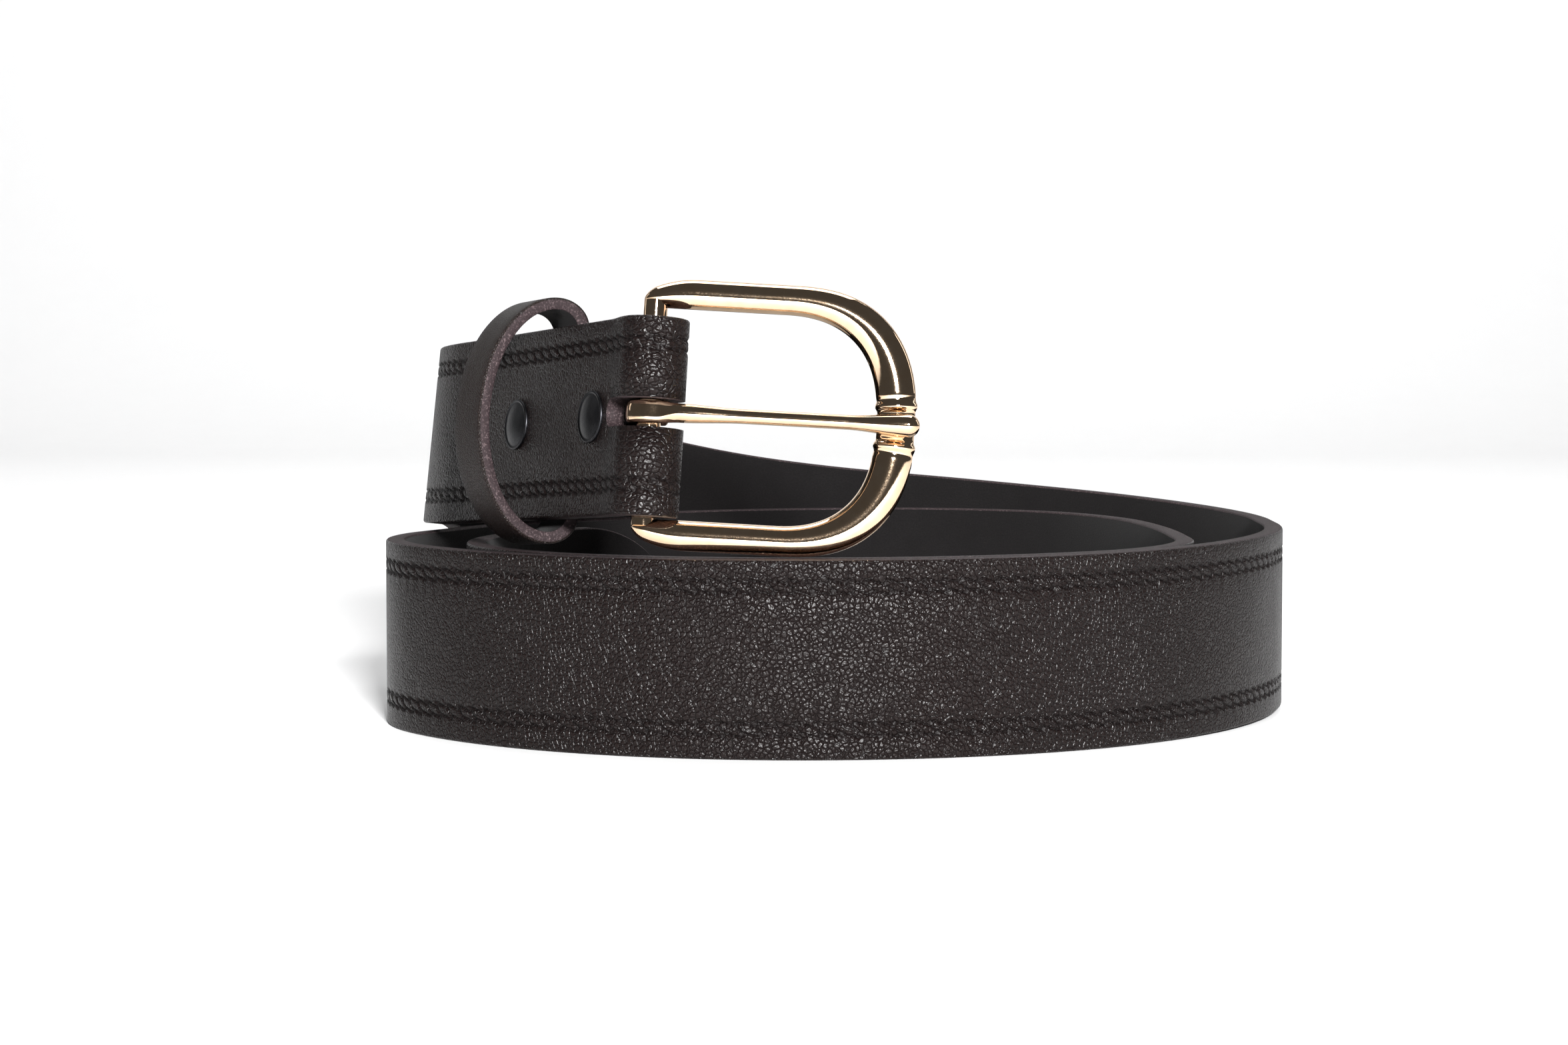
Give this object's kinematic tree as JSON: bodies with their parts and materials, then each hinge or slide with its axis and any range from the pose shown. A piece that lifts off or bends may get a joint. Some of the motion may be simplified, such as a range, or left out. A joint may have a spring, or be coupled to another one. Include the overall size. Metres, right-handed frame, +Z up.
{
  "type": "leather belt",
  "caption": "Coiled dark brown leather belt with rope-embossed edges, polished pale gold horseshoe buckle, prong, leather keeper and dark snaps.",
  "frame": {"origin": "centre of the bounding box, at the bottom, where the coil stands on the table", "axes": "+Z up across the width of the coiled strap, front of the coil faces -Y, buckle points to +X"},
  "size_m": [0.1909, 0.1947, 0.091],
  "materials": {
    "leather_strap": "satin",
    "leather_keeper": "satin",
    "polished_gold": "gloss",
    "gunmetal": "satin",
    "staple_wire": "satin"
  },
  "bodies": {
    "strap_assembly": {"strap": "leather_strap", "snap_cap_1": "gunmetal", "snap_socket_1": "gunmetal", "snap_stud_1": "gunmetal", "snap_post_1": "gunmetal", "snap_cap_2": "gunmetal", "snap_socket_2": "gunmetal", "snap_stud_2": "gunmetal", "snap_post_2": "gunmetal"},
    "buckle": {"buckle_frame": "polished_gold"},
    "prong": {"prong": "polished_gold"},
    "keeper": {"keeper_loop": "leather_keeper", "keeper_staple": "staple_wire"}
  },
  "joints": [
    {"name": "buckle_hinge", "type": "hinge", "parent": "strap_assembly", "child": "buckle", "pos_m": [-0.0383, -0.088, 0.06495], "axis": [-0.0578, -0.1114, -0.9921], "range_deg": [0, 75]},
    {"name": "prong_hinge", "type": "hinge", "parent": "buckle", "child": "prong", "pos_m": [-0.0383, -0.088, 0.06495], "axis": [-0.0578, -0.1114, -0.9921], "range_deg": [0, 85]},
    {"name": "keeper_slide", "type": "slide", "parent": "strap_assembly", "child": "keeper", "axis": [0.4836, -0.8725, 0.0698], "range_m": [0, 0.012]}
  ]
}
